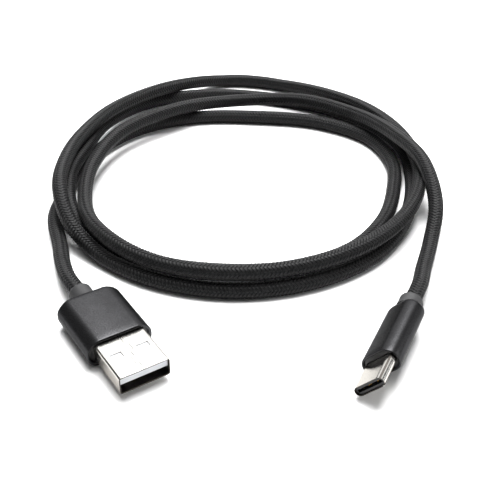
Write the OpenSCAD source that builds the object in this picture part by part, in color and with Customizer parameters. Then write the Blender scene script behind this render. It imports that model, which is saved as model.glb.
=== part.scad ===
// Braided charging cable with a USB-A plug and a USB-C plug, lying in three loose turns.
// Millimetres. +Z is up and the cable rests on z = 0. The origin is under the middle of the two plugs.
// Each plug is drawn along +X from its own cord exit and then placed.

/* [Cord] */
// Outside diameter of the braided cord
cord_d = 4; // [3.6:0.1:4]
// Flat sides on the cord's tube
cord_sides = 12; // [8:1:12]

/* [Collars] */
// Outside diameter of the soft collar at each cord exit
collar_d = 5.8; // [5.4:0.1:7]
// Visible length of the USB-A plug's collar
usb_a_collar_l = 4.8; // [4:0.1:6]
// Visible length of the USB-C plug's collar
usb_c_collar_l = 4; // [3.3:0.1:5]

/* [USB-A plug] */
// Width of the USB-A casing
usb_a_casing_w = 15.8; // [14.4:0.1:19]
// Height of the USB-A casing
usb_a_casing_h = 7.4; // [7.2:0.1:9]
// Length of the USB-A casing
usb_a_casing_l = 17.2; // [14.3:0.1:21]
// Bare length of the metal shell
usb_a_exposed_l = 12; // [10:0.1:14.4]

/* [USB-C plug] */
// Width of the USB-C casing
usb_c_casing_w = 9.8; // [9.8:0.1:12]
// Height of the USB-C casing
usb_c_casing_h = 5.8; // [5.8:0.1:7]
// Length of the USB-C casing
usb_c_casing_l = 19.5; // [16.2:0.1:23.4]
// Bare length of the metal tip
usb_c_exposed_l = 7.8; // [6.5:0.1:8.4]
// Turn of the USB-C plug about its own length
usb_c_roll = 47; // [0:1:60]

/* [Fits] */
// Clearance between pieces that slot into each other
fit_gap = 0.05; // [0.03:0.01:0.08]

/* [Hidden] */
$fn = 48;

// Where each cord exit is, and which way each plug points, in degrees from +X
usb_a_exit = [-38.5, 16, usb_a_casing_h / 2];
usb_a_heading = -57.3;
usb_c_heading = -114.5;
usb_c_axis_z = (usb_c_casing_w - usb_c_casing_h) / 2 * sin(usb_c_roll) + usb_c_casing_h / 2;
usb_c_exit = [39.7, 11.9, usb_c_axis_z];

// The cord's centre line, from the USB-A exit to the USB-C exit.
// A height of 2 lies on the surface, about 6 is one strand up and about 10 is two strands up.
route = [
    usb_a_exit,
    usb_a_exit - 6 * [cos(usb_a_heading), sin(usb_a_heading), 0],
    [-44.4, 28, 3], [-46.9, 37.5, 2.2], [-50.5, 51, 2], [-49, 67, 2],
    [-44.5, 86.5, 2], [-34, 100.5, 2], [-17, 109, 2], [5, 109.5, 2],
    [25, 105.5, 2], [39, 95, 2], [44, 80, 2], [42.5, 65, 2],
    [37.5, 49, 2], [28, 36, 2], [12, 28, 2], [-8, 27, 2],
    [-27, 32.5, 2], [-40, 42, 2], [-46.5, 53, 4.2], [-48.5, 65, 6.1],
    [-46.4, 81.8, 6.1], [-42.2, 103.1, 4], [-31, 120.2, 2], [-11.5, 125.8, 2],
    [9, 123, 2], [27, 115.5, 2], [40.7, 102.6, 2], [48.1, 87, 2],
    [48.5, 71, 2], [44.2, 51.4, 2], [33.6, 33.2, 2], [16, 22, 2],
    [-4, 19, 2], [-23, 24, 2], [-37, 34, 2.5], [-45, 43, 6],
    [-49, 54, 9.7], [-49.5, 68, 10.3], [-46.4, 86.6, 9.6], [-38.2, 108.4, 7.4],
    [-25.4, 122.9, 6.1], [-7, 137, 2], [13, 133.5, 2], [31.5, 117.6, 4.8],
    [38, 109.2, 5.8], [43.3, 100.6, 6.1], [48.9, 85, 6.1], [50, 69, 6],
    [46, 52.5, 6], [35.2, 35.6, 6.5], [17, 24, 6.2], [-4, 20.5, 6.2],
    [-24, 26.5, 6.2], [-38, 39.5, 7.2], [-43, 57, 5.8], [-43, 73.5, 5.8],
    [-36.5, 92, 6.5], [-21.8, 105.9, 6.6], [-2, 116.6, 4.4], [19, 115.5, 5.2],
    [34, 104.5, 6.2], [45, 84, 9.2], [50.5, 65.3, 10], [51.5, 50, 6],
    [48.4, 38, 2.5], [44.8, 26.3, 3.2],
    usb_c_exit - 6 * [cos(usb_c_heading), sin(usb_c_heading), 0],
    usb_c_exit
];
last = len(route) - 1;
// Spans longer than this carry one more ring of the tube at their middle
long_span = 22;

// Collars, crimps and jacket ends
jacket_bore_r = cord_d / 2 + fit_gap;
collar_round = 0.6;
rear_wall = 0.9;
flange_l = 0.85;
// Thickness of a wire's soldered end, as a share of the wire's own
solder_ratio = 1.2;

// USB-A plug, stations along its length from the cord exit
usb_a_wall = 0.8;
usb_a_rear = usb_a_collar_l;
usb_a_front = usb_a_rear + usb_a_casing_l;
usb_a_mouth = usb_a_front + usb_a_exposed_l;
usb_a_edge_r = usb_a_casing_h / 2 - 0.4;
usb_a_crown_r = 30;
usb_a_cavity_w = usb_a_casing_w - 2 * usb_a_wall;
usb_a_cavity_h = usb_a_casing_h - 2 * usb_a_wall;
usb_a_cavity_r = usb_a_edge_r - usb_a_wall;
usb_a_jacket_l = usb_a_rear + 3.8;
usb_a_shell_w = 12;
usb_a_shell_h = 4.5;
usb_a_shell_wall = 0.3;
usb_a_shell_r = 0.6;
usb_a_shell_rear = usb_a_front - 7;
usb_a_block_front = usb_a_front + 0.6;
usb_a_contact_t = 0.25;
usb_a_contact_w = 1;
usb_a_contact_z = 0.06;
usb_a_contact_y = [3.5, 1, -1, -3.5];
usb_a_contact_front = [usb_a_mouth - 1.5, usb_a_mouth - 2.5, usb_a_mouth - 2.5, usb_a_mouth - 1.5];
usb_a_wire_d = 0.9;
usb_a_wire_y = [1.425, 0.475, -0.475, -1.425];
usb_a_wire_z = usb_a_contact_z + usb_a_contact_t + solder_ratio * usb_a_wire_d / 2 + fit_gap;
usb_a_window_x = usb_a_front + 0.45 * usb_a_exposed_l;
usb_a_window_y = 3.2;
usb_a_window_w = 2.7;
usb_a_window_l = 2.1;
seam_w = 0.1;
seam_jog = 0.8;

// USB-C plug, stations along its length from the cord exit
usb_c_wall = 0.55;
usb_c_rear = usb_c_collar_l;
usb_c_front = usb_c_rear + usb_c_casing_l;
usb_c_mouth = usb_c_front + usb_c_exposed_l;
usb_c_edge_r = usb_c_casing_h / 2 - 0.05;
usb_c_cavity_w = usb_c_casing_w - 2 * usb_c_wall;
usb_c_cavity_h = usb_c_casing_h - 2 * usb_c_wall;
usb_c_cavity_r = usb_c_edge_r - usb_c_wall;
usb_c_shoulder_r = 1.4;
usb_c_jacket_l = usb_c_rear + 3.4;
usb_c_shell_w = 8.25;
usb_c_shell_h = 2.4;
usb_c_shell_wall = 0.2;
usb_c_shell_r = 1.19;
usb_c_shell_rear = usb_c_front - 9;
usb_c_housing_w = usb_c_shell_w - 2 * usb_c_shell_wall - 2 * fit_gap;
usb_c_housing_h = usb_c_shell_h - 2 * usb_c_shell_wall - 2 * fit_gap + 0.02;
usb_c_housing_rear = usb_c_shell_rear + 1;
usb_c_housing_front = usb_c_mouth - 0.4;
usb_c_slot_w = 6.9;
usb_c_slot_h = 0.8;
usb_c_slot_rear = usb_c_mouth - 9;
usb_c_pitch = 0.5;
usb_c_upper_pins = [0, 3, 4, 5, 6, 8, 11];
usb_c_lower_pins = [0, 3, 4, 8, 11];
usb_c_contact_w = 0.25;
usb_c_contact_t = 0.15;
usb_c_contact_z = 0.42;
usb_c_contact_rear = usb_c_shell_rear - 0.8;
usb_c_contact_front = usb_c_mouth - 1.6;
usb_c_board_w = 7;
usb_c_board_t = 0.6;
usb_c_board_rear = usb_c_jacket_l + 2.2;
usb_c_board_front = usb_c_housing_rear - 0.1;
usb_c_wire_d = 0.8;
usb_c_wire_y = [1.275, 0.425, -0.425, -1.275];
usb_c_pad_y = [2.4, 0.8, -0.8, -2.4];
usb_c_wire_z = usb_c_board_t / 2 + solder_ratio * usb_c_wire_d / 2 + fit_gap;
latch_rear = usb_c_mouth - 9.5;
latch_front = usb_c_mouth - 1.2;
latch_y = 3.32;
latch_t = 0.14;
latch_h = 0.5;
latch_travel = 0.24;
contact_travel = 0.13;
spring_rear = usb_c_mouth - 6;
spring_front = usb_c_mouth - 1.5;
spring_w = 4.4;
spring_t = 0.1;

// ---- shared shapes ----

// Rectangle with round corners, centred, drawn from squares and circles
module rounded_rect(w, h, r) {
    square([w - 2 * r, h], center = true);
    square([w, h - 2 * r], center = true);
    for (sx = [-1, 1], sy = [-1, 1]) {
        translate([sx * (w / 2 - r), sy * (h / 2 - r)]) circle(r = r);
    }
}

// Prism along +X from x0 to x1 with a rounded rectangle as its section
module prism(x0, x1, w, h, r) {
    translate([x0, 0, 0]) rotate([90, 0, 90]) linear_extrude(x1 - x0) rounded_rect(w, h, r);
}

// Box given by its low and high corners
module box(low, high) {
    translate(low) cube(high - low);
}

// Solid of revolution about +X. Each point is [radius, x].
module lathe(points) {
    rotate([0, 90, 0]) rotate_extrude() polygon(points);
}

// Round bar along +X
module bar(x0, x1, d) {
    translate([x0, 0, 0]) rotate([0, 90, 0]) cylinder(h = x1 - x0, d = d);
}

// Straight round wire from p to q
module straight_wire(p, q, d) {
    v = q - p;
    translate(p) rotate([0, acos(v.z / norm(v)), atan2(v.y, v.x)]) cylinder(h = norm(v), d = d, $fn = 24);
}

// Wire that fans out from p to q, with a thicker soldered end that runs level to x_end
module fanned_wire(p, q, x_end, d) {
    straight_wire(p, q, d);
    straight_wire([q.x - d / 2, q.y, q.z], [x_end, q.y, q.z], solder_ratio * d);
}

module place_usb_a() {
    translate(usb_a_exit) rotate([0, 0, usb_a_heading]) children();
}

module place_usb_c() {
    translate(usb_c_exit) rotate([0, 0, usb_c_heading]) rotate([usb_c_roll, 0, 0]) children();
}

// ---- cord ----

function span(i) = norm(route[i + 1] - route[i]);
function way(i) = (route[i + 1] - route[i]) / span(i);
// Direction at point i: the directions of its two spans, each weighted by the other's length
function direction(i) =
    i == 0 ? way(0) :
    i == last ? way(last - 1) :
    (way(i - 1) * span(i) + way(i) * span(i - 1)) / (span(i - 1) + span(i));
// Cubic curve through points i and i + 1 that follows the directions there
function on_curve(i, t) =
    (2 * t * t * t - 3 * t * t + 1) * route[i]
    + (t * t * t - 2 * t * t + t) * span(i) * direction(i)
    + (3 * t * t - 2 * t * t * t) * route[i + 1]
    + (t * t * t - t * t) * span(i) * direction(i + 1);
function on_surface(p) = [p.x, p.y, max(p.z, cord_d / 2)];
function steps(i) = span(i) > long_span ? 2 : 1;
centres = [
    for (i = [0 : last - 1]) for (j = [0 : steps(i) - 1]) on_surface(on_curve(i, j / steps(i))),
    route[last]
];
rings = len(centres);
function heading_at(k) =
    k == 0 ? way(0) :
    k == rings - 1 ? way(last - 1) :
    (centres[k + 1] - centres[k - 1]) / norm(centres[k + 1] - centres[k - 1]);
function sideways(v) = cross([0, 0, 1], v) / norm(cross([0, 0, 1], v));
function ring_point(k, j) =
    let (v = heading_at(k), s = sideways(v), u = cross(v, s), a = 360 * j / cord_sides)
    centres[k] + cord_d / 2 * (sin(a) * s - cos(a) * u);

module cord() {
    points = [for (k = [0 : rings - 1]) for (j = [0 : cord_sides - 1]) ring_point(k, j)];
    walls = [
        for (k = [0 : rings - 2]) for (j = [0 : cord_sides - 1])
            let (a = k * cord_sides + j, b = k * cord_sides + (j + 1) % cord_sides)
            for (f = [[a, b, b + cord_sides], [a, b + cord_sides, a + cord_sides]]) f
    ];
    first_cap = [for (j = [cord_sides - 1 : -1 : 0]) j];
    last_cap = [for (j = [0 : cord_sides - 1]) (rings - 1) * cord_sides + j];
    color("#1a1a1c") polyhedron(points, concat(walls, [first_cap, last_cap]));
}

// ---- collar, crimp and jacket end, alike on both plugs ----

// Soft ring from the cord exit to the casing, with a neck through the casing's rear wall
module collar_body(length, neck_d) {
    lathe([
        [jacket_bore_r, 0],
        [collar_d / 2 - collar_round, 0],
        for (a = [0 : 15 : 90]) [
            collar_d / 2 - collar_round * (1 - sin(a)),
            collar_round * (1 - cos(a))
        ],
        [collar_d / 2, length - fit_gap],
        [neck_d / 2, length - fit_gap],
        [neck_d / 2, length + rear_wall + fit_gap],
        [jacket_bore_r, length + rear_wall + fit_gap]
    ]);
}

module jacket_end(length) {
    color("#26262a") bar(0, length, cord_d);
}

module crimp(x0, x1, outer_d) {
    color("silver") difference() {
        bar(x0, x1, outer_d);
        bar(x0 - 1, x1 + 1, 2 * jacket_bore_r);
    }
}

// ---- USB-A plug ----

usb_a_neck_d = cord_d + 0.9;

module usb_a_collar() {
    flange_x = usb_a_rear + rear_wall + fit_gap;
    color("#3a3a3d") place_usb_a() difference() {
        union() {
            collar_body(usb_a_rear, usb_a_neck_d);
            bar(flange_x - fit_gap, flange_x + flange_l, usb_a_cavity_h - 0.3);
        }
        bar(-1, usb_a_front, 2 * jacket_bore_r);
    }
}

module usb_a_casing() {
    corner_r = 1.2;
    middle = (usb_a_rear + usb_a_front + corner_r) / 2;
    color("#232326") place_usb_a() difference() {
        intersection() {
            prism(usb_a_rear, usb_a_front, usb_a_casing_w, usb_a_casing_h, usb_a_edge_r);
            translate([middle, 0, -usb_a_casing_h]) linear_extrude(2 * usb_a_casing_h)
                rounded_rect(usb_a_casing_l + corner_r, usb_a_casing_w + 0.02, corner_r);
            translate([0, 0, usb_a_casing_h / 2 - usb_a_crown_r])
                bar(usb_a_rear - 1, usb_a_front + 1, 2 * usb_a_crown_r);
        }
        prism(usb_a_rear + rear_wall, usb_a_front + 1, usb_a_cavity_w, usb_a_cavity_h, usb_a_cavity_r);
        bar(usb_a_rear - 1, usb_a_rear + 2, usb_a_neck_d + 2 * fit_gap);
    }
}

module usb_a_front_insert() {
    color("#111113") place_usb_a() difference() {
        prism(usb_a_front - 1.1, usb_a_front - 0.5,
            usb_a_cavity_w - 2 * fit_gap, usb_a_cavity_h - 2 * fit_gap, usb_a_cavity_r - fit_gap);
        prism(usb_a_front - 2, usb_a_front,
            usb_a_shell_w + 2 * fit_gap, usb_a_shell_h + 2 * fit_gap, usb_a_shell_r + fit_gap);
    }
}

// Window in the shell's upper and lower walls: square at the rear and round at the front
module usb_a_window() {
    translate([0, 0, -usb_a_shell_h]) linear_extrude(2 * usb_a_shell_h) {
        rounded_rect(usb_a_window_l, usb_a_window_w, 0.7);
        translate([-usb_a_window_l / 4, 0]) square([usb_a_window_l / 2, usb_a_window_w], center = true);
    }
}

// Seam where the shell's folded edges meet, with two interlocking steps
module usb_a_seam() {
    x = [for (f = [0, 0.2, 0.42, 0.6, 0.78]) usb_a_front + f * usb_a_exposed_l];
    ends = [usb_a_shell_rear - 1, x[1], x[2], x[3], x[4], usb_a_mouth + 1];
    side = [0, seam_jog, 0, -seam_jog, 0];
    half = seam_w / 2;
    for (i = [0 : len(side) - 1]) {
        box([ends[i] - half, side[i] - half, 0], [ends[i + 1] + half, side[i] + half, usb_a_shell_h]);
    }
    for (i = [0 : len(side) - 2]) {
        box([ends[i + 1] - half, min(side[i], side[i + 1]) - half, 0],
            [ends[i + 1] + half, max(side[i], side[i + 1]) + half, usb_a_shell_h]);
    }
}

module usb_a_shell() {
    color("silver") place_usb_a() difference() {
        prism(usb_a_shell_rear, usb_a_mouth, usb_a_shell_w, usb_a_shell_h, usb_a_shell_r);
        prism(usb_a_shell_rear - 1, usb_a_mouth + 1, usb_a_shell_w - 2 * usb_a_shell_wall,
            usb_a_shell_h - 2 * usb_a_shell_wall, usb_a_shell_r - usb_a_shell_wall);
        for (s = [-1, 1]) translate([usb_a_window_x, s * usb_a_window_y, 0]) usb_a_window();
        usb_a_seam();
    }
}

// Contact carrier: a block that fills the shell's rear and a tongue along its upper wall
module usb_a_tongue() {
    w = usb_a_shell_w - 2 * usb_a_shell_wall - 2 * fit_gap;
    h = usb_a_shell_h - 2 * usb_a_shell_wall - 2 * fit_gap;
    rear = usb_a_shell_rear + 0.3;
    color("#e9e7df") place_usb_a() difference() {
        prism(rear, usb_a_mouth - 0.4, w, h, 0.25);
        box([usb_a_block_front, -w, -h], [usb_a_mouth + 1, w, fit_gap]);
        for (i = [0 : 3]) {
            box([rear - 1, usb_a_contact_y[i] - usb_a_contact_w / 2 - fit_gap, -fit_gap],
                [usb_a_contact_front[i] + fit_gap, usb_a_contact_y[i] + usb_a_contact_w / 2 + fit_gap,
                    usb_a_contact_z + usb_a_contact_t + fit_gap]);
        }
    }
}

module usb_a_contact(i) {
    color("gold") place_usb_a()
        box([usb_a_shell_rear - 1.6, usb_a_contact_y[i] - usb_a_contact_w / 2, usb_a_contact_z],
            [usb_a_contact_front[i], usb_a_contact_y[i] + usb_a_contact_w / 2,
                usb_a_contact_z + usb_a_contact_t]);
}

module usb_a_contact_vbus() { usb_a_contact(0); }
module usb_a_contact_d_minus() { usb_a_contact(1); }
module usb_a_contact_d_plus() { usb_a_contact(2); }
module usb_a_contact_gnd() { usb_a_contact(3); }

// Moulded filler behind the shell, with a pocket for the wires
module usb_a_inner_mould() {
    rear = usb_a_rear + rear_wall + flange_l + 2 * fit_gap;
    pocket_rear = usb_a_jacket_l - fit_gap;
    pocket_front = usb_a_shell_rear - fit_gap;
    pocket_w = 2 * usb_a_contact_y[0] + usb_a_contact_w + 0.4;
    color("#d8d6ce") place_usb_a() difference() {
        prism(rear, usb_a_front - 1.1 - fit_gap,
            usb_a_cavity_w - 2 * fit_gap, usb_a_cavity_h - 2 * fit_gap, usb_a_cavity_r - fit_gap);
        bar(rear - 1, pocket_rear + 0.5, usb_a_cavity_h - 0.5);
        box([pocket_rear, -pocket_w / 2, -0.9], [pocket_front + 1, pocket_w / 2, usb_a_wire_z + 0.7]);
        prism(pocket_front, usb_a_front, usb_a_shell_w + 2 * fit_gap, usb_a_shell_h + 2 * fit_gap,
            usb_a_shell_r + fit_gap);
    }
}

module usb_a_crimp() {
    x0 = usb_a_rear + rear_wall + flange_l + 0.3;
    place_usb_a() crimp(x0, usb_a_jacket_l - 0.2, usb_a_cavity_h - 0.8);
}

module usb_a_jacket_end() {
    place_usb_a() jacket_end(usb_a_jacket_l);
}

module usb_a_wire(i, shade) {
    bend = [usb_a_shell_rear - 2.4, usb_a_contact_y[i], usb_a_wire_z];
    color(shade) place_usb_a()
        fanned_wire([usb_a_jacket_l + 0.15, usb_a_wire_y[i], 0], bend, usb_a_shell_rear - 0.3, usb_a_wire_d);
}

module usb_a_wire_red() { usb_a_wire(0, "red"); }
module usb_a_wire_white() { usb_a_wire(1, "white"); }
module usb_a_wire_green() { usb_a_wire(2, "green"); }
module usb_a_wire_black() { usb_a_wire(3, "black"); }

// ---- USB-C plug ----

usb_c_neck_d = cord_d + 0.6;

module usb_c_collar() {
    flange_x = usb_c_rear + rear_wall + fit_gap;
    color("#4a4a4d") place_usb_c() difference() {
        union() {
            collar_body(usb_c_rear, usb_c_neck_d);
            prism(flange_x - fit_gap, flange_x + flange_l, usb_c_cavity_w - 1.6, usb_c_cavity_h - 0.2, 2);
        }
        bar(-1, usb_c_front, 2 * jacket_bore_r);
    }
}

module usb_c_casing() {
    reach = usb_c_casing_w / 2 + 0.01;
    color("#232326") place_usb_c() difference() {
        intersection() {
            prism(usb_c_rear, usb_c_front, usb_c_casing_w, usb_c_casing_h, usb_c_edge_r);
            lathe([
                [0, usb_c_rear],
                for (a = [0 : 15 : 90]) [
                    reach - usb_c_shoulder_r * (1 - sin(a)),
                    usb_c_rear + usb_c_shoulder_r * (1 - cos(a))
                ],
                [reach, usb_c_front],
                [0, usb_c_front]
            ]);
        }
        prism(usb_c_rear + rear_wall, usb_c_front + 1, usb_c_cavity_w, usb_c_cavity_h, usb_c_cavity_r);
        bar(usb_c_rear - 1, usb_c_rear + 2, usb_c_neck_d + 2 * fit_gap);
    }
}

module usb_c_front_insert() {
    color("#0e0e10") place_usb_c() difference() {
        prism(usb_c_front - 1.1, usb_c_front - 0.4,
            usb_c_cavity_w - 2 * fit_gap, usb_c_cavity_h - 2 * fit_gap, usb_c_cavity_r - fit_gap);
        prism(usb_c_front - 2, usb_c_front,
            usb_c_shell_w + 2 * fit_gap, usb_c_shell_h + 2 * fit_gap, usb_c_shell_r + fit_gap);
    }
}

module usb_c_shell() {
    color("silver") place_usb_c() difference() {
        prism(usb_c_shell_rear, usb_c_mouth, usb_c_shell_w, usb_c_shell_h, usb_c_shell_r);
        prism(usb_c_shell_rear - 1, usb_c_mouth + 1, usb_c_shell_w - 2 * usb_c_shell_wall,
            usb_c_shell_h - 2 * usb_c_shell_wall, usb_c_shell_r - usb_c_shell_wall);
    }
}

function pin_y(pin) = (pin - 5.5) * usb_c_pitch;

// Contact housing with the slot for the socket's tongue, grooves for the contacts,
// side pockets for the latches and shallow seats for the ground springs
module usb_c_housing() {
    pocket_y = latch_y + latch_t + latch_travel;
    color("#0e0e10") place_usb_c() difference() {
        prism(usb_c_housing_rear, usb_c_housing_front, usb_c_housing_w, usb_c_housing_h, 0.9);
        box([usb_c_slot_rear, -usb_c_slot_w / 2, -usb_c_slot_h / 2],
            [usb_c_mouth, usb_c_slot_w / 2, usb_c_slot_h / 2]);
        box([latch_rear - 0.15, -pocket_y, -latch_h / 2 - 0.1],
            [latch_front + 0.2, pocket_y, latch_h / 2 + 0.1]);
        for (pin = usb_c_upper_pins) usb_c_groove(pin, 1);
        for (pin = usb_c_lower_pins) usb_c_groove(pin, -1);
        for (s = [-1, 1]) {
            box([spring_rear - 0.2, -spring_w / 2 - 0.1, s > 0 ? 0.82 : -1.5],
                [spring_front + 0.2, spring_w / 2 + 0.1, s > 0 ? 1.5 : -0.82]);
        }
    }
}

module usb_c_groove(pin, s) {
    half = usb_c_contact_w / 2 + fit_gap;
    far = usb_c_contact_z + usb_c_contact_t + fit_gap + contact_travel;
    box([usb_c_housing_rear - 1, pin_y(pin) - half, s > 0 ? 0.36 : -far],
        [usb_c_contact_front + 0.3, pin_y(pin) + half, s > 0 ? far : -0.36]);
}

// One row of spring contacts, each with a raised nib near its front
module usb_c_contact_row(pins) {
    for (pin = pins) translate([0, pin_y(pin) - usb_c_contact_w / 2, 0]) {
        box([usb_c_contact_rear, 0, usb_c_contact_z],
            [usb_c_contact_front, usb_c_contact_w, usb_c_contact_z + usb_c_contact_t]);
        box([usb_c_contact_front - 0.9, 0, usb_c_contact_z - 0.1],
            [usb_c_contact_front - 0.4, usb_c_contact_w, usb_c_contact_z + 0.01]);
    }
}

module usb_c_contacts_upper() {
    color("gold") place_usb_c() usb_c_contact_row(usb_c_upper_pins);
}

module usb_c_contacts_lower() {
    color("gold") place_usb_c() mirror([0, 0, 1]) usb_c_contact_row(usb_c_lower_pins);
}

// Side latch: a spring strip with a hook that snaps into the socket's tongue
module usb_c_latch() {
    box([latch_rear, latch_y, -latch_h / 2], [latch_front, latch_y + latch_t, latch_h / 2]);
    box([latch_front - 0.8, latch_y - 0.22, -latch_h / 2], [latch_front - 0.2, latch_y + 0.01, latch_h / 2]);
}

module usb_c_latch_left() {
    color("silver") place_usb_c() usb_c_latch();
}

module usb_c_latch_right() {
    color("silver") place_usb_c() mirror([0, 1, 0]) usb_c_latch();
}

module ground_spring(z) {
    color("silver") place_usb_c()
        box([spring_rear, -spring_w / 2, z], [spring_front, spring_w / 2, z + spring_t]);
}

module usb_c_ground_spring_upper() { ground_spring(0.85); }
module usb_c_ground_spring_lower() { ground_spring(-0.85 - spring_t); }

module usb_c_board() {
    color("darkgreen") place_usb_c()
        box([usb_c_board_rear, -usb_c_board_w / 2, -usb_c_board_t / 2],
            [usb_c_board_front, usb_c_board_w / 2, usb_c_board_t / 2]);
}

module usb_c_resistor() {
    x = usb_c_contact_rear - 1.2;
    color("#3b3b40") place_usb_c()
        box([x, 1.4, usb_c_board_t / 2], [x + 0.5, 2.4, usb_c_board_t / 2 + 0.35]);
}

// Moulded filler behind the shell, with a pocket for the board and the wires
module usb_c_inner_mould() {
    rear = usb_c_jacket_l + fit_gap;
    pocket_front = usb_c_shell_rear - fit_gap;
    color("#d8d6ce") place_usb_c() difference() {
        prism(rear, usb_c_front - 1.1 - fit_gap,
            usb_c_cavity_w - 2 * fit_gap, usb_c_cavity_h - 2 * fit_gap, usb_c_cavity_r - fit_gap);
        box([rear - 1, -usb_c_board_w / 2 - 0.2, -1.1], [pocket_front + 1, usb_c_board_w / 2 + 0.2, 1.45]);
        prism(pocket_front, usb_c_front, usb_c_shell_w + 2 * fit_gap, usb_c_shell_h + 2 * fit_gap,
            usb_c_shell_r + fit_gap);
    }
}

module usb_c_crimp() {
    x0 = usb_c_rear + rear_wall + flange_l + 0.3;
    place_usb_c() crimp(x0, usb_c_jacket_l - 0.1, usb_c_cavity_h - 0.1);
}

module usb_c_jacket_end() {
    place_usb_c() jacket_end(usb_c_jacket_l);
}

module usb_c_wire(i, shade) {
    bend = [usb_c_board_rear - 0.6, usb_c_pad_y[i], usb_c_wire_z];
    color(shade) place_usb_c()
        fanned_wire([usb_c_jacket_l + 0.15, usb_c_wire_y[i], 0], bend, usb_c_board_rear + 1.6, usb_c_wire_d);
}

module usb_c_wire_red() { usb_c_wire(0, "red"); }
module usb_c_wire_white() { usb_c_wire(1, "white"); }
module usb_c_wire_green() { usb_c_wire(2, "green"); }
module usb_c_wire_black() { usb_c_wire(3, "black"); }

// ---- nodes ----

cord();
usb_a_collar();
usb_a_casing();
usb_a_front_insert();
usb_a_shell();
usb_a_tongue();
usb_a_contact_vbus();
usb_a_contact_d_minus();
usb_a_contact_d_plus();
usb_a_contact_gnd();
usb_a_inner_mould();
usb_a_crimp();
usb_a_jacket_end();
usb_a_wire_red();
usb_a_wire_white();
usb_a_wire_green();
usb_a_wire_black();
usb_c_collar();
usb_c_casing();
usb_c_front_insert();
usb_c_shell();
usb_c_housing();
usb_c_contacts_upper();
usb_c_contacts_lower();
usb_c_latch_left();
usb_c_latch_right();
usb_c_ground_spring_upper();
usb_c_ground_spring_lower();
usb_c_board();
usb_c_resistor();
usb_c_inner_mould();
usb_c_crimp();
usb_c_jacket_end();
usb_c_wire_red();
usb_c_wire_white();
usb_c_wire_green();
usb_c_wire_black();
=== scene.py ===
# %% [markdown]
# # A braided charging cable, finished in Blender
# The cable's working parts come from the engineering model, which is loaded here as a fixed frame.
# Everything below gives it its looks: the woven cord, the metal and plastic of both plugs, and the light.
# All lengths are metres. The cable lies on z = 0 and both plugs point roughly towards -Y.

import math

import bmesh
import bpy
import numpy as np
from mathutils import Matrix


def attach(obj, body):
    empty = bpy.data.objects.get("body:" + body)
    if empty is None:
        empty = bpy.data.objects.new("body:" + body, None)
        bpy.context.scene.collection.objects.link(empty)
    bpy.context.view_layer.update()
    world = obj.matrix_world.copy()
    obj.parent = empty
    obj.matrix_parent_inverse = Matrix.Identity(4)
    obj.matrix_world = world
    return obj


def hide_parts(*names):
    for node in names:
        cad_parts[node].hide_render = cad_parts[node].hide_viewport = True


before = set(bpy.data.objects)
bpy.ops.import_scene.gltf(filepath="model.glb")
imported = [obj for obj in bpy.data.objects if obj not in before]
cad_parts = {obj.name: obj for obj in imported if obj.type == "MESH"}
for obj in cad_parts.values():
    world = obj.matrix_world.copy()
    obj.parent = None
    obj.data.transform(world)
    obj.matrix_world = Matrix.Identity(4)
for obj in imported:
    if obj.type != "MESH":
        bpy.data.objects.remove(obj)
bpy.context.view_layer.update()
MM = 0.001
HOME = "plugs_and_cord"

# %% [markdown]
# ## Where the viewer stands
# The cable is seen from the front and above, about 35 degrees over the table, through a short telephoto lens.
# A camera could be turned by hand, but two points say it better: where it is and what it looks at.

# %% Camera
camera_spot = np.array([2.0, -151.8, 135.8]) * MM
looks_at = np.array([2.0, 38.5, 0.0]) * MM
camera_data = bpy.data.cameras.new("camera")
camera_data.sensor_width = 36.0
camera_data.lens = 64.8
camera_data.clip_start, camera_data.clip_end = 0.01, 20.0
camera = bpy.data.objects.new("camera", camera_data)
bpy.context.scene.collection.objects.link(camera)
camera.location = camera_spot


def aim(thing, target):
    """Turns a camera or lamp so that its -Z axis runs to the target and its Y axis is as upright as can be."""
    back = np.array(thing.location) - target
    back = back / np.linalg.norm(back)
    right = np.cross([0.0, 0.0, 1.0], back)
    right = right / np.linalg.norm(right)
    up = np.cross(back, right)
    thing.rotation_mode = "QUATERNION"
    turn = np.column_stack([right, up, back])
    thing.rotation_quaternion = Matrix(turn.tolist()).to_quaternion()


aim(camera, looks_at)
bpy.context.scene.camera = camera
print("camera lens", camera_data.lens, "mm")

# %% [markdown]
# ## Meshes from whole arrays
# Each new piece is a grid of points that numpy works out in one go. These helpers turn such a grid into a
# closed mesh: four-sided faces between neighbouring rings, and flat end caps cut into four-sided faces.


# %% Mesh helpers
def grid_faces(rings, sides, first=0, loop=False):
    """Faces between neighbouring rings of a tube. Corner (k, j) has index first + k * sides + j, and j wraps
    round."""
    k = np.arange(rings if loop else rings - 1)[:, None]
    j = np.arange(sides)[None, :]
    nxt = (j + 1) % sides
    up = (k + 1) % rings
    quads = np.stack([k * sides + j, k * sides + nxt, up * sides + nxt, up * sides + j], axis=-1)
    return quads.reshape(-1, 4) + first


def cap_faces(first, sides, turned=False):
    """A flat cap on one ring with an even number of corners, as a ladder of four-sided faces."""
    i = np.arange(sides // 2 - 1)
    quads = np.stack([i, sides - 1 - i, sides - 2 - i, i + 1], axis=-1) + first
    return quads[:, ::-1] if turned else quads


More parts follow.
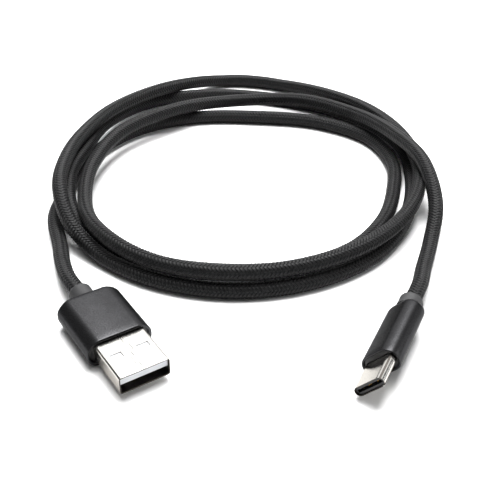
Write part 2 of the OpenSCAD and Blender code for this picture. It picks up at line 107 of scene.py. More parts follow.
def solid_piece(name, points, faces, uv=None):
    """Puts points (n, 3) and four-sided faces (m, 4) into a smooth-shaded mesh that rides on the cable."""
    mesh = bpy.data.meshes.new(name)
    mesh.vertices.add(len(points))
    mesh.vertices.foreach_set("co", np.asarray(points, np.float32).ravel())
    mesh.loops.add(faces.size)
    mesh.loops.foreach_set("vertex_index", np.asarray(faces, np.int32).ravel())
    mesh.polygons.add(len(faces))
    mesh.polygons.foreach_set("loop_start", np.arange(0, faces.size, 4, dtype=np.int32))
    mesh.polygons.foreach_set("use_smooth", np.ones(len(faces), bool))
    if uv is not None:
        layer = mesh.uv_layers.new(name="along_and_round")
        layer.data.foreach_set("uv", np.asarray(uv[faces.ravel()], np.float32).ravel())
    mesh.update(calc_edges=True)
    mesh.validate()
    piece = bpy.data.objects.new(name, mesh)
    bpy.context.scene.collection.objects.link(piece)
    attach(piece, HOME)
    return piece


# %% [markdown]
# ## The cord's route
# The cord is one fixed length of a limp braided lead, about 1.2 m, and it leaves each plug straight before it
# lies down in three loose turns. A simulation would drop it anywhere, so its route is listed instead:
# the same points as in the engineering model, joined by a smooth curve that passes through each of them.

# %% Route points, in millimetres
CORD_D = 4.0
usb_a_exit = np.array([-38.5, 16.0, 3.7])
usb_a_heading = math.radians(-57.3)
usb_c_roll = math.radians(47.0)
C_W, C_H = 9.8, 5.8
usb_c_exit = np.array([39.7, 11.9, (C_W - C_H) / 2 * math.sin(usb_c_roll) + C_H / 2])
usb_c_heading = math.radians(-114.5)
usb_a_way = np.array([math.cos(usb_a_heading), math.sin(usb_a_heading), 0.0])
usb_c_way = np.array([math.cos(usb_c_heading), math.sin(usb_c_heading), 0.0])
route = [
    [-44.4, 28, 3], [-46.9, 37.5, 2.2], [-50.5, 51, 2], [-49, 67, 2],
    [-44.5, 86.5, 2], [-34, 100.5, 2], [-17, 109, 2], [5, 109.5, 2],
    [25, 105.5, 2], [39, 95, 2], [44, 80, 2], [42.5, 65, 2],
    [37.5, 49, 2], [28, 36, 2], [12, 28, 2], [-8, 27, 2],
    [-27, 32.5, 2], [-40, 42, 2], [-46.5, 53, 4.2], [-48.5, 65, 6.1],
    [-46.4, 81.8, 6.1], [-42.2, 103.1, 4], [-31, 120.2, 2], [-11.5, 125.8, 2],
    [9, 123, 2], [27, 115.5, 2], [40.7, 102.6, 2], [48.1, 87, 2],
    [48.5, 71, 2], [44.2, 51.4, 2], [33.6, 33.2, 2], [16, 22, 2],
    [-4, 19, 2], [-23, 24, 2], [-37, 34, 2.5], [-45, 43, 6],
    [-49, 54, 9.7], [-49.5, 68, 10.3], [-46.4, 86.6, 9.6], [-38.2, 108.4, 7.4],
    [-25.4, 122.9, 6.1], [-7, 137, 2], [13, 133.5, 2], [31.5, 117.6, 4.8],
    [38, 109.2, 5.8], [43.3, 100.6, 6.1], [48.9, 85, 6.1], [50, 69, 6],
    [46, 52.5, 6], [35.2, 35.6, 6.5], [17, 24, 6.2], [-4, 20.5, 6.2],
    [-24, 26.5, 6.2], [-38, 39.5, 7.2], [-43, 57, 5.8], [-43, 73.5, 5.8],
    [-36.5, 92, 6.5], [-21.8, 105.9, 6.6], [-2, 116.6, 4.4], [19, 115.5, 5.2],
    [34, 104.5, 6.2], [45, 84, 9.2], [50.5, 65.3, 10], [51.5, 50, 6],
    [48.4, 38, 2.5], [44.8, 26.3, 3.2],
]
LEAD = 6
route = np.vstack(
    [usb_a_exit, usb_a_exit - LEAD * usb_a_way, route, usb_c_exit - LEAD * usb_c_way, usb_c_exit]
)
print(len(route), "route points")


# %% Smooth curve through the points
def curve_through(knots, steps):
    """A cubic through each pair of knots. Its direction at a knot is the mean of the two spans' directions,
    each weighted by the other span's length, and straight at both ends."""
    span = np.diff(knots, axis=0)
    size = np.linalg.norm(span, axis=1, keepdims=True)
    way = span / size
    middle = (way[:-1] * size[1:] + way[1:] * size[:-1]) / (size[:-1] + size[1:])
    ways = np.vstack([way[:1], middle, way[-1:]])
    t = (np.arange(steps) / steps)[None, :, None]
    a, b = knots[:-1, None], knots[1:, None]
    m, n = (ways[:-1] * size)[:, None], (ways[1:] * size)[:, None]
    parts = (2 * t**3 - 3 * t**2 + 1) * a + (t**3 - 2 * t**2 + t) * m
    parts = parts + (3 * t**2 - 2 * t**3) * b + (t**3 - t**2) * n
    return np.vstack([parts.reshape(-1, 3), knots[-1:]])


STEPS_PER_SPAN = 24
line = curve_through(route, STEPS_PER_SPAN)
line[:, 2] = np.maximum(line[:, 2], CORD_D / 2)
walked = np.concatenate([[0.0], np.cumsum(np.linalg.norm(np.diff(line, axis=0), axis=1))])
cord_length = walked[-1]
print("cord length", round(cord_length, 1), "mm")


# %% Directions along the cord
def smooth_columns(table, reach):
    """Each column averaged with its neighbours up to reach rows away, the ends repeated outwards."""
    padded = np.vstack([np.repeat(table[:1], reach, 0), table, np.repeat(table[-1:], reach, 0)])
    total = np.cumsum(np.vstack([np.zeros((1, table.shape[1])), padded]), axis=0)
    width = 2 * reach + 1
    return (total[width:] - total[:-width]) / width


stations = np.linspace(0.0, cord_length, 4 * int(cord_length) + 1)
centre = np.column_stack([np.interp(stations, walked, line[:, i]) for i in range(3)])
ahead = smooth_columns(np.gradient(centre, stations, axis=0), 6)
ahead = ahead / np.linalg.norm(ahead, axis=1, keepdims=True)
aside = np.cross([0.0, 0.0, 1.0], ahead)
aside = aside / np.linalg.norm(aside, axis=1, keepdims=True)
above = np.cross(ahead, aside)


def around_cord(along, angle, radius):
    """Points at a distance along the cord, an angle round it (0 is on top) and a radius, in metres.
    Point = centre(along) + radius * (sin(angle) * aside(along) + cos(angle) * above(along))."""
    tables = np.hstack([centre, aside, above])
    found = [np.interp(along, stations, tables[:, i]) for i in range(9)]
    c, s, u = (np.stack(found[i : i + 3], axis=-1) for i in (0, 3, 6))
    out = np.sin(angle)[..., None] * s + np.cos(angle)[..., None] * u
    return (c + radius[..., None] * out) * MM


# %% [markdown]
# ## The cord's core
# Under the braid runs a smooth dark jacket. It only shows in the pin-holes between yarns, and it is the piece
# that takes the place of the engineering model's cord, which is hidden: its path, length and diameter are what
# the real lead has.

# %% Core tube
CORE_R = 1.62
core_sides = 16
core_step = 1.5
core_along = np.linspace(0.0, cord_length, int(cord_length / core_step))
angle, along = np.meshgrid(np.arange(core_sides) * 2 * math.pi / core_sides, core_along)
core_points = around_cord(along, -angle, np.full(along.shape, CORE_R)).reshape(-1, 3)
core_faces = np.vstack([
    grid_faces(len(core_along), core_sides),
    cap_faces(0, core_sides),
    cap_faces((len(core_along) - 1) * core_sides, core_sides, turned=True),
])
core_uv = np.stack([along.ravel() / 10, angle.ravel() / (2 * math.pi)], axis=1)
cord_core = solid_piece("cord_core", core_points, core_faces, core_uv)
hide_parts("cord")
print("core faces", len(core_faces))

# %% [markdown]
# ## The braid
# Sixteen flat nylon yarns are woven round the core, eight to each hand. Each passes over two and under two,
# which lines the stitches up in lengthwise columns that lean left and right by turns, like herringbone.
# A bump pattern could fake this, but real yarns give the dotted edge and tiny shadows that a braid has.

# %% Yarn shape
LAY = 7.6
YARNS_EACH_HAND = 8
YARN_HALF_W = 0.41
YARN_HALF_T = 0.15
BRAID_R = 1.74
RISE = 0.13
YARN_SIDES = 6
yarn_step = LAY / 32
yarn_along = np.linspace(0.5, cord_length - 0.5, int(cord_length / yarn_step))
section = np.arange(YARN_SIDES) * 2 * math.pi / YARN_SIDES


def twist(along):
    """The slow wander of the braid round the cord, in radians: two long waves."""
    return 0.5 * np.sin(along / 97.0) + 0.3 * np.sin(along / 41.0 + 1.3)


def braid_yarn(carrier, hand):
    """One yarn: a lens-shaped section carried along a helix. It turns once in LAY, and crosses 16 others in that
    length. Its height above the middle radius is RISE * tanh(2.2 * cos(quarter turns of its crossing count)),
    which is nearly flat over two crossings and under two. The lens lies across the yarn on the cord's surface."""
    s = yarn_along[:, None]
    lean = math.atan2(2 * math.pi * BRAID_R, LAY)
    across = YARN_HALF_W * np.cos(section)[None, :]
    crossing = 2 * carrier + hand * 2 * YARNS_EACH_HAND * s / LAY
    rise = hand * RISE * np.tanh(2.2 * np.cos(math.pi * (crossing - 0.5) / 2)) / math.tanh(2.2)
    plump = 1.0 + 0.12 * rise / RISE
    radius = BRAID_R + rise + YARN_HALF_T * plump * np.sin(section)[None, :]
    turn = hand * 2 * math.pi * s / LAY + 2 * math.pi * carrier / YARNS_EACH_HAND + twist(s)
    shifted = s - hand * across * math.sin(lean)
    angle = turn + across * math.cos(lean) / BRAID_R
    shifted = np.clip(shifted, 0.0, cord_length)
    points = around_cord(shifted, angle, radius)
    length = s / math.cos(lean) / 10 + 0 * across
    uv = np.stack([length, (across / YARN_HALF_W + 1) / 2 + 0 * s], axis=-1)
    return points.reshape(-1, 3), uv.reshape(-1, 2)


def yarn_faces(rings, first):
    """Side faces and both end caps of one yarn whose points start at index first."""
    sides = len(section)
    return np.vstack([
        grid_faces(rings, sides, first),
        cap_faces(first, sides),
        cap_faces(first + (rings - 1) * sides, sides, turned=True),
    ])


# %% Weave the yarns, two to a piece
yarn_pieces = []
for hand, word in ((1, "right"), (-1, "left")):
    for pair in range(YARNS_EACH_HAND // 2):
        made = [braid_yarn(carrier, hand) for carrier in (2 * pair, 2 * pair + 1)]
        rings = len(yarn_along)
        faces = np.vstack([yarn_faces(rings, i * rings * len(section)) for i in range(2)])
        piece = solid_piece(
            f"braid_{word}_{pair + 1}",
            np.vstack([points for points, _ in made]),
            faces,
            np.vstack([uv for _, uv in made]),
        )
        yarn_pieces.append(piece)
print("yarn faces", sum(len(p.data.polygons) for p in yarn_pieces))

# %% [markdown]
# ## Placing the plugs
# Each plug is drawn along its own x axis, from the cord's exit to its mouth, and then laid in place.
# The USB-A plug lies flat. The oval USB-C plug has rolled 47 degrees on to one shoulder.


# %% Plug axes
def plug_axes(heading, roll):
    """Three unit vectors of a plug: along it, across it and out of its upper face."""
    x = np.array([math.cos(heading), math.sin(heading), 0.0])
    level = np.array([-math.sin(heading), math.cos(heading), 0.0])
    up = np.array([0.0, 0.0, 1.0])
    y = math.cos(roll) * level + math.sin(roll) * up
    z = -math.sin(roll) * level + math.cos(roll) * up
    return np.stack([x, y, z])


usb_a_axes = plug_axes(usb_a_heading, 0.0)
usb_c_axes = plug_axes(usb_c_heading, usb_c_roll)


def on_usb_a(points):
    """Plug millimetres to metres in the frame, for the USB-A plug."""
    return (usb_a_exit + points @ usb_a_axes) * MM


def on_usb_c(points):
    """Plug millimetres to metres in the frame, for the USB-C plug."""
    return (usb_c_exit + points @ usb_c_axes) * MM


# %% Rounded sections
def rounded_ring(x, w, h, r, corner=10):
    """One ring across a plug at x: a rectangle w by h whose corners are quarter circles of radius r."""
    t = np.linspace(0.0, math.pi / 2, corner)
    quarter = np.arange(4)[:, None] * math.pi / 2
    side_y = np.array([1, -1, -1, 1])[:, None] * (w / 2 - r)
    side_z = np.array([1, 1, -1, -1])[:, None] * (h / 2 - r)
    y = (side_y + r * np.cos(t + quarter)).ravel()
    z = (side_z + r * np.sin(t + quarter)).ravel()
    return np.stack([np.full(y.shape, x), y, z], axis=1)


def sleeve(profile, corner=10):
    """A closed hollow sleeve: rings (x, w, h, r) joined in order, and the last joined to the first."""
    points = np.vstack([rounded_ring(*ring, corner=corner) for ring in profile])
    return points, grid_faces(len(profile), 4 * corner, loop=True)[:, ::-1]


def quarter_round(x, w, h, r, length, inset_w, inset_h, steps=7, front=False):
    """Rings that round off an end. On a quarter circle, the section grows to (w, h) from (w, h) less twice the
    insets."""
    a = np.linspace(0.0, math.pi / 2, steps)
    cut = 1 - np.sin(a)
    step = length * (1 - np.cos(a))
    rings = [
        (x + (-q if front else q), w - 2 * inset_w * c, h - 2 * inset_h * c, r - inset_h * c)
        for c, q in zip(cut, step)
    ]
    return rings[::-1] if front else rings


# %% [markdown]
# ## Plug casings
# Both casings are thin tubes of black anodised aluminium. The USB-A one is a flat bar with full round sides,
# the USB-C one an oval. Rings joined in order make each wall, with the small rounds that catch the light:
# at the shoulders behind, round the front lip, and down into the recess in front. The USB-A casing's upper
# face is also bowed a little across its width.

# %% Crown
CROWN_R = 30.0


def crowned(points, height):
    """Bows the upper face across the plug: z falls by y squared / (2 * CROWN_R) at the top, and by nothing
    half way down."""
    out = points.copy()
    share = np.clip(out[:, 2] / (height / 2), 0.0, 1.0)
    out[:, 2] -= share * out[:, 1] ** 2 / (2 * CROWN_R)
    return out


# %% USB-A casing
A_REAR, A_FRONT = 4.8, 22.0
A_W, A_H, A_R, A_WALL = 15.8, 7.4, 3.3, 0.8
inner = (A_W - 2 * A_WALL, A_H - 2 * A_WALL, A_R - A_WALL)
profile = (
    [(A_REAR + 0.9, 5.0, 5.0, 2.49), (A_REAR, 5.0, 5.0, 2.49)]
    + quarter_round(A_REAR, A_W, A_H, A_R, 1.1, 1.1, 0.45, steps=9)
    + [(A_REAR + 2.0, A_W, A_H, A_R), (A_FRONT - 2.0, A_W, A_H, A_R)]
    + quarter_round(A_FRONT, A_W, A_H, A_R, 0.22, 0.22, 0.22, front=True)
    + [(A_FRONT, inner[0] + 0.3, inner[1] + 0.3, inner[2] + 0.15)]
    + [(A_FRONT - 0.15, *inner), (A_REAR + 0.9, *inner)]
)
points, faces = sleeve(profile, corner=14)
usb_a_casing = solid_piece("usb_a_casing_tube", on_usb_a(crowned(points, A_H)), faces)
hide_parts("usb_a_casing")

# %% USB-C casing
C_REAR, C_FRONT = 4.0, 23.5
C_R, C_WALL = 2.85, 0.55
inner = (C_W - 2 * C_WALL, C_H - 2 * C_WALL, C_R - C_WALL)
profile = (
    [(C_REAR + 0.9, 4.7, 4.7, 2.34), (C_REAR, 4.7, 4.7, 2.34)]
    + quarter_round(C_REAR, C_W, C_H, C_R, 1.4, 1.4, 0.35, steps=9)
    + [(C_REAR + 2.4, C_W, C_H, C_R), (C_FRONT - 2.0, C_W, C_H, C_R)]
    + quarter_round(C_FRONT, C_W, C_H, C_R, 0.2, 0.2, 0.2, front=True)
    + [(C_FRONT, inner[0] + 0.24, inner[1] + 0.24, inner[2] + 0.12)]
    + [(C_FRONT - 0.12, *inner), (C_REAR + 0.9, *inner)]
)
points, faces = sleeve(profile, corner=14)
usb_c_casing = solid_piece("usb_c_casing_tube", on_usb_c(points), faces)
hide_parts("usb_c_casing")
print("casing faces", len(usb_a_casing.data.polygons), len(usb_c_casing.data.polygons))

# %% [markdown]
# ## Collars
# A short soft ring guards the cord where it enters each casing. It is a turned shape, so a profile is carried
# round the plug's axis: a softly rounded rear edge, a faint waist, and a small step where it meets the metal.


# %% Turned rings
def turned(profile, sides=48):
    """A closed ring: profile points (radius, x) carried round the plug's axis, the last joined to the first."""
    profile = np.array(profile)
    t = np.arange(sides) * 2 * math.pi / sides
    y = profile[:, :1] * np.cos(t)
    z = profile[:, :1] * np.sin(t)
    x = profile[:, 1:] + 0 * t
    points = np.stack([x, y, z], axis=-1).reshape(-1, 3)
    return points, grid_faces(len(profile), sides, loop=True)[:, ::-1]


COLLAR_R, COLLAR_BORE_R, COLLAR_ROUND, COLLAR_WAIST = 2.9, 2.05, 0.75, 0.06


def collar_profile(length, neck_r, flange_r):
    """Outline of a collar in (radius, x), from its bore over its round rear edge to its neck in the casing."""
    a = np.linspace(0.0, math.pi / 2, 8)
    edge = [
        (COLLAR_R - COLLAR_ROUND * (1 - math.sin(t)), COLLAR_ROUND * (1 - math.cos(t)))
        for t in a
    ]
    along = np.linspace(1.0, length - 0.35, 8)
    share = [(x - COLLAR_ROUND) / (length - COLLAR_ROUND) for x in along]
    waist = [(COLLAR_R - COLLAR_WAIST * math.sin(math.pi * f), x) for f, x in zip(share, along)]
    step = [(COLLAR_R, length - 0.3), (COLLAR_R - 0.04, length - 0.12), (COLLAR_R - 0.18, length - 0.05)]
    neck = [(neck_r, length - 0.05), (neck_r, length + 0.95)]
    flange = [(flange_r, length + 0.96), (flange_r, length + 1.74), (COLLAR_BORE_R, length + 1.74)]
    return [(COLLAR_BORE_R, 0.12), (COLLAR_BORE_R + 0.07, 0.0)] + edge + waist + step + neck + flange


# %% Both collars
points, faces = turned(collar_profile(A_REAR, 2.44, 2.7))
usb_a_collar = solid_piece("usb_a_collar_ring", on_usb_a(points), faces)
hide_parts("usb_a_collar")
points, faces = turned(collar_profile(C_REAR, 2.29, 2.2))
usb_c_collar = solid_piece("usb_c_collar_ring", on_usb_c(points), faces)
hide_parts("usb_c_collar")
print("collar faces", len(usb_a_collar.data.polygons), len(usb_c_collar.data.polygons))


# %% [markdown]
# ## Pieces with their own edges
# The metal shells, the plastic inserts and the contact carriers have the right shape already, but machined
# solids end in knife edges, which no stamped or moulded part has. Each gets a merged copy with a fine bevel.

# %% Bevelled copies
MERGE_DISTANCE = 2e-6
FLAT_ANGLE = math.radians(0.6)
SHARP_ANGLE = math.radians(35.0)
SMALL_FACE = 0.8 * MM**2


def eased(node, name, width):
    """A merged copy of an engineering piece with its sharp edges rounded to width, in millimetres. Only its
    small faces, which make up its round corners, are shaded smooth."""
    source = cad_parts[node]
    work = bmesh.new()
    work.from_mesh(source.data)
    bmesh.ops.remove_doubles(work, verts=work.verts, dist=MERGE_DISTANCE)
    bmesh.ops.dissolve_limit(work, angle_limit=FLAT_ANGLE, verts=work.verts, edges=work.edges)
    mesh = bpy.data.meshes.new(name)
    work.to_mesh(mesh)
    work.free()
    area = np.zeros(len(mesh.polygons), np.float32)
    mesh.polygons.foreach_get("area", area)
    mesh.polygons.foreach_set("use_smooth", area < SMALL_FACE)
    piece = bpy.data.objects.new(name, mesh)
    bpy.context.scene.collection.objects.link(piece)
    bevel = piece.modifiers.new("edge", "BEVEL")
    bevel.width = width * MM
    bevel.segments = 2
    bevel.limit_method = "ANGLE"
    bevel.angle_limit = SHARP_ANGLE
    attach(piece, HOME)
    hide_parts(node)
    return piece


usb_a_shell = eased("usb_a_shell", "usb_a_shell_folded", 0.07)
usb_a_insert = eased("usb_a_front_insert", "usb_a_insert_ring", 0.1)
usb_a_tongue = eased("usb_a_tongue", "usb_a_tongue_moulded", 0.08)
usb_c_shell = eased("usb_c_shell", "usb_c_shell_drawn", 0.06)
usb_c_insert = eased("usb_c_front_insert", "usb_c_insert_ring", 0.08)

# %% [markdown]
# ## Finishes
# Every finish is worked out from the piece's own coordinates, so it needs no pictures and stays on the part.
# A few helpers wire the usual things: a fine grain in the roughness, a slight change of colour, a small bump.


# %% Finish helpers
def finish(name, colour, roughness, metallic=0.0):
    """A new material with one Principled shader, and its base colour, roughness and metallic value set."""
    made = bpy.data.materials.new(name)
    made.use_nodes = True
    shader = made.node_tree.nodes["Principled BSDF"]
    shader.inputs["Base Color"].default_value = (*colour, 1.0)
    shader.inputs["Roughness"].default_value = roughness
    shader.inputs["Metallic"].default_value = metallic
    return made, shader


def place_of(made, kind="Object"):
    """The socket that gives each point its place on the piece."""
    node = made.node_tree.nodes.new("ShaderNodeTexCoord")
    return node.outputs[kind]


def noise(made, place, scale, detail=3.0, stretch=None):
    """Noise at so many grains to the metre, drawn out along an axis if stretch is given."""
    nodes, links = made.node_tree.nodes, made.node_tree.links
    grain = nodes.new("ShaderNodeTexNoise")
    grain.inputs["Scale"].default_value = scale
    grain.inputs["Detail"].default_value = detail
    if stretch is None:
        links.new(place, grain.inputs["Vector"])
    else:
        mapping = nodes.new("ShaderNodeMapping")
        mapping.inputs["Scale"].default_value = stretch
        links.new(place, mapping.inputs["Vector"])
        links.new(mapping.outputs["Vector"], grain.inputs["Vector"])
    return grain.outputs["Fac"]


def spread(made, value, low, high):
    """The middle of a noise, from 0.3 to 0.7, spread over low to high."""
    node = made.node_tree.nodes.new("ShaderNodeMapRange")
    node.inputs["From Min"].default_value = 0.3
    node.inputs["From Max"].default_value = 0.7
    node.inputs["To Min"].default_value = low
    node.inputs["To Max"].default_value = high
    made.node_tree.links.new(value, node.inputs["Value"])
    return node.outputs["Result"]


def blended(made, value, dark, light):
    """A colour between dark and light, as the value goes from 0 to 1."""
    node = made.node_tree.nodes.new("ShaderNodeMix")
    node.data_type = "RGBA"
    node.inputs["A"].default_value = (*dark, 1.0)
    node.inputs["B"].default_value = (*light, 1.0)
    made.node_tree.links.new(value, node.inputs["Factor"])
    return node.outputs["Result"]


def bumped(made, shader, height, distance):
    """The height, times distance in metres, tilts the surface."""
    node = made.node_tree.nodes.new("ShaderNodeBump")
    node.inputs["Distance"].default_value = distance
    node.inputs["Strength"].default_value = 1.0
    made.node_tree.links.new(height, node.inputs["Height"])
    made.node_tree.links.new(node.outputs["Normal"], shader.inputs["Normal"])


def wear(piece, made):
    """Gives a piece this material in every slot."""
    if not piece.data.materials:
        piece.data.materials.append(made)
    for slot in piece.material_slots:
        slot.link = "OBJECT"
        slot.material = made


# %% [markdown]
# ## Nylon yarn
# Each yarn is a flat bundle of black filaments. They are slightly glossy along their length, so the yarn
# has a soft sheen, with hair-fine ridges that follow the yarn's own map and a little unevenness in its colour.

# %% Braid finish
nylon, shader = finish("black_nylon", (0.01, 0.01, 0.011), 0.5)
shader.inputs["Sheen Weight"].default_value = 0.02
shader.inputs["Sheen Roughness"].default_value = 0.4
shader.inputs["Specular IOR Level"].default_value = 0.22
place = place_of(nylon)
patchy = spread(nylon, noise(nylon, place, 900.0, 2.0), 0.0, 1.0)
nylon.node_tree.links.new(
    blended(nylon, patchy, (0.004, 0.004, 0.0045), (0.009, 0.009, 0.0095)), shader.inputs["Base Color"]
)
nylon.node_tree.links.new(spread(nylon, noise(nylon, place, 4000.0), 0.42, 0.62), shader.inputs["Roughness"])
filament = noise(nylon, place_of(nylon, "UV"), 9.0, 2.0, stretch=(0.2, 1.0, 1.0))
bumped(nylon, shader, filament, 0.00006)
for piece in yarn_pieces:
    wear(piece, nylon)
print("yarn pieces finished:", len(yarn_pieces))

core_dark, shader = finish("core_jacket", (0.003, 0.003, 0.003), 0.7)
core_dark.node_tree.links.new(
    spread(core_dark, noise(core_dark, place_of(core_dark), 2500.0), 0.5, 0.7), shader.inputs["Roughness"]
)
wear(cord_core, core_dark)

# %% [markdown]
# ## Anodised aluminium
# The casings were blasted with fine beads and dyed black. That leaves a satin metal: dark, but with the glow
# of the light on every face that meets it, and a grain too fine to see as dots.

# %% Casing finish
anodised, shader = finish("black_anodised", (0.042, 0.042, 0.044), 0.3, 0.9)
GLANCING_TINT = (0.4, 0.4, 0.4, 1.0)
shader.inputs["Specular Tint"].default_value = GLANCING_TINT
place = place_of(anodised)
grain = noise(anodised, place, 9000.0, 2.0)
anodised.node_tree.links.new(spread(anodised, grain, 0.24, 0.32), shader.inputs["Roughness"])
tint = spread(anodised, noise(anodised, place, 350.0), 0.0, 1.0)
anodised.node_tree.links.new(
    blended(anodised, tint, (0.039, 0.039, 0.0405), (0.045, 0.045, 0.047)), shader.inputs["Base Color"]
)
bumped(anodised, shader, grain, 0.000012)
wear(usb_a_casing, anodised)
wear(usb_c_casing, anodised)

# %% [markdown]
# ## Rubber and plastic
# The collars are matte moulded rubber, the inserts a hard black plastic, and the contact carrier a pale,
# slightly milky one. Each has its own fine moulding texture.


# %% Moulded finishes
def moulded(name, dark, light, rough_low, rough_high, grains, depth):
    """A moulded finish: colour between two shades, uneven roughness and a fine texture depth metres deep."""
    made, shader = finish(name, light, rough_high)
    place = place_of(made)
    tone = spread(made, noise(made, place, grains / 8), 0.0, 1.0)
    made.node_tree.links.new(blended(made, tone, dark, light), shader.inputs["Base Color"])
    fine = noise(made, place, grains)
    made.node_tree.links.new(spread(made, fine, rough_low, rough_high), shader.inputs["Roughness"])
    bumped(made, shader, fine, depth)
    return made


rubber_a = moulded(
    "collar_rubber_dark", (0.015, 0.015, 0.016), (0.021, 0.021, 0.022), 0.6, 0.75, 6000.0, 0.00001
)
rubber_c = moulded(
    "collar_rubber_grey", (0.02, 0.02, 0.021), (0.028, 0.028, 0.029), 0.6, 0.75, 6000.0, 0.00001
)
insert_black = moulded(
    "insert_plastic", (0.008, 0.008, 0.009), (0.014, 0.014, 0.015), 0.4, 0.55, 5000.0, 0.000006
)
carrier_white = moulded(
    "carrier_plastic", (0.56, 0.575, 0.6), (0.64, 0.65, 0.67), 0.35, 0.5, 3000.0, 0.000004
)
housing_black = moulded(
    "housing_plastic", (0.006, 0.006, 0.007), (0.012, 0.012, 0.013), 0.45, 0.6, 5000.0, 0.000005
)
mould_pale = moulded("inner_moulding", (0.6, 0.59, 0.55), (0.7, 0.69, 0.65), 0.5, 0.7, 2500.0, 0.00001)
jacket = moulded("jacket_rubber", (0.02, 0.02, 0.022), (0.035, 0.035, 0.038), 0.5, 0.65, 2500.0, 0.00001)
wear(usb_a_collar, rubber_a)
wear(usb_c_collar, rubber_c)
wear(usb_a_insert, insert_black)
wear(usb_c_insert, insert_black)
wear(usb_a_tongue, carrier_white)

# %% [markdown]
# ## Metals
# The shells are stamped from bright steel strip, rolled in one direction, so the sheen is drawn out along the
# strip. The contacts are flashed with gold, and the springs are bare spring steel. A metal's edge tint says how
# much light it throws at a glancing angle, and a tint below white keeps glancing faces from washing out.


# %% Metal finishes
def strip_metal(name, colour, rough_low, rough_high, lines, depth):
    """Rolled metal strip: fine lines drawn out along the plug in roughness and bump."""
    made, shader = finish(name, colour, rough_low, 1.0)
    shader.inputs["Specular Tint"].default_value = (0.55, 0.53, 0.5, 1.0)
    place = place_of(made)
    drawn = noise(made, place, lines, 2.0, stretch=(1.0, 0.35, 1.0))
    made.node_tree.links.new(spread(made, drawn, rough_low, rough_high), shader.inputs["Roughness"])
    faint = spread(made, noise(made, place, lines / 12), 0.0, 1.0)
    darker = tuple(0.93 * c for c in colour)
    made.node_tree.links.new(blended(made, faint, darker, colour), shader.inputs["Base Color"])
    bumped(made, shader, drawn, depth)
    return made


plug_steel = strip_metal("bright_steel", (0.6, 0.585, 0.56), 0.16, 0.24, 5000.0, 0.0000006)
spring_steel = strip_metal("spring_steel", (0.62, 0.62, 0.62), 0.28, 0.42, 5000.0, 0.000004)
gold = strip_metal("contact_gold", (0.86, 0.64, 0.28), 0.2, 0.32, 5000.0, 0.000003)
crimped = strip_metal("crimp_metal", (0.6, 0.57, 0.52), 0.35, 0.5, 3000.0, 0.00001)
# Painted shade: the shells' inner faces get a dark steel colour that stands in for the shadow inside them.
painted_shade_steel = strip_metal("steel_painted_shade_inside", (0.06, 0.055, 0.05), 0.4, 0.55, 5000.0, 0.000004)


def paint_shade_inside(piece, origin, axes, w, h, wall):
    """Steel outside, and inside a dark steel colour that is painted shade for the dim inside of the shell.
    A face is inside if its middle lies within the shell's inner walls."""
    mesh = piece.data
    middles = np.zeros(3 * len(mesh.polygons), np.float32)
    mesh.polygons.foreach_get("center", middles)
    own = (middles.reshape(-1, 3) / MM - origin) @ axes.T
    inside = (np.abs(own[:, 1]) < w / 2 - 0.9 * wall) & (np.abs(own[:, 2]) < h / 2 - 0.9 * wall)
    mesh.materials.clear()
    mesh.materials.append(plug_steel)
    mesh.materials.append(painted_shade_steel)
    mesh.polygons.foreach_set("material_index", inside.astype(np.int32))
    print(piece.name, int(inside.sum()), "faces inside")


usb_a_section = (12.0, 4.5, 0.3)
usb_c_section = (8.25, 2.4, 0.2)
paint_shade_inside(usb_a_shell, usb_a_exit, usb_a_axes, *usb_a_section)
paint_shade_inside(usb_c_shell, usb_c_exit, usb_c_axes, *usb_c_section)

# %% [markdown]
# ## Inside the plugs
# The contacts, the small circuit board, the crimps and the coloured wires are hidden in use, but they are
# part of the plug, so each gets its own finish and shows it when the casing is taken away.

# %% Wires, board and the rest
wire_shades = {
    "red": ((0.45, 0.02, 0.015), (0.6, 0.04, 0.03)),
    "white": ((0.7, 0.7, 0.68), (0.82, 0.82, 0.8)),
    "green": ((0.02, 0.22, 0.06), (0.04, 0.32, 0.09)),
    "black": ((0.01, 0.01, 0.01), (0.02, 0.02, 0.02)),
}
wire_finish = {
    shade: moulded(f"wire_{shade}", dark, light, 0.35, 0.5, 3000.0, 0.000006)
    for shade, (dark, light) in wire_shades.items()
}
board_green = moulded("solder_mask", (0.008, 0.09, 0.035), (0.015, 0.14, 0.06), 0.2, 0.3, 3000.0, 0.000004)
chip_dark = moulded("chip_ceramic", (0.02, 0.02, 0.024), (0.035, 0.035, 0.04), 0.4, 0.55, 3000.0, 0.000004)
by_part = {
    "contact": gold,
    "crimp": crimped,
    "inner_mould": mould_pale,
    "jacket_end": jacket,
    "latch": spring_steel,
    "ground_spring": spring_steel,
    "housing": housing_black,
    "board": board_green,
    "resistor": chip_dark,
}
for node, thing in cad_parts.items():
    if thing.hide_render:
        continue
    made = next((m for word, m in by_part.items() if word in node), None)
    made = made or wire_finish[node.rsplit("_", 1)[-1]]
    wear(thing, made)
print("carried-over pieces finished")

# %% [markdown]
# ## Table and light
# The cable lies on a plain white table under soft studio light: one broad lamp above and behind, which draws
# the grey sheen along every top face, and weaker ones straight above and at the right. The surrounding is dim,
# except for a soft patch of glow behind the cable, which the steel and the casings mirror towards the viewer.

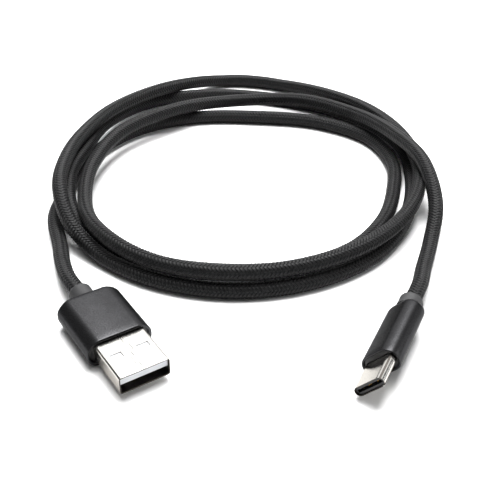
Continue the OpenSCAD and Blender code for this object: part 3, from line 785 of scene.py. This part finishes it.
# %% Table
table_mesh = bpy.data.meshes.new("table")
half = 3
corners = [(-half, -half, 0), (half, -half, 0), (half, half, 0), (-half, half, 0)]
table_mesh.from_pydata(corners, [], [(0, 1, 2, 3)])
table = bpy.data.objects.new("table", table_mesh)
bpy.context.scene.collection.objects.link(table)
white, shader = finish("table_white", (0.9, 0.9, 0.9), 0.7)
shader.inputs["Specular IOR Level"].default_value = 0.2
wear(table, white)


# %% Lamps
def soft_lamp(name, spot, size, watts):
    """A square softbox of that size in metres, at spot, aimed at the middle of the turns."""
    data = bpy.data.lights.new(name, "AREA")
    data.shape = "SQUARE"
    data.size = size
    data.energy = watts
    lamp = bpy.data.objects.new(name, data)
    bpy.context.scene.collection.objects.link(lamp)
    lamp.location = spot
    aim(lamp, np.array([0.0, 0.05, 0.0]))


soft_lamp("lamp_above_behind", (0.05, 0.45, 1.1), 0.75, 32.0)
soft_lamp("lamp_above", (-0.1, 0.1, 1.15), 0.8, 4.5)
soft_lamp("lamp_right", (0.9, 0.1, 0.45), 0.5, 2.5)
print("three lamps")

# %% Surrounding
glow_way = (0.0, 0.82, 0.57)
world = bpy.data.worlds.new("surround")
bpy.context.scene.world = world
world.use_nodes = True
background = world.node_tree.nodes["Background"]
background.inputs["Color"].default_value = (1.0, 1.0, 1.0, 1.0)
way_out = world.node_tree.nodes.new("ShaderNodeTexCoord")
towards = world.node_tree.nodes.new("ShaderNodeVectorMath")
towards.operation = "DOT_PRODUCT"
towards.inputs[1].default_value = glow_way
glow = world.node_tree.nodes.new("ShaderNodeMapRange")
glow.interpolation_type = "SMOOTHSTEP"
glow.inputs["From Min"].default_value = 0.7
glow.inputs["From Max"].default_value = 0.92
glow.inputs["To Min"].default_value = 0.1
glow.inputs["To Max"].default_value = 1.35
world.node_tree.links.new(way_out.outputs["Generated"], towards.inputs[0])
world.node_tree.links.new(towards.outputs["Value"], glow.inputs["Value"])
world.node_tree.links.new(glow.outputs["Result"], background.inputs["Strength"])
bpy.context.scene.view_settings.view_transform = "Standard"
print("surrounding glows towards", glow_way)
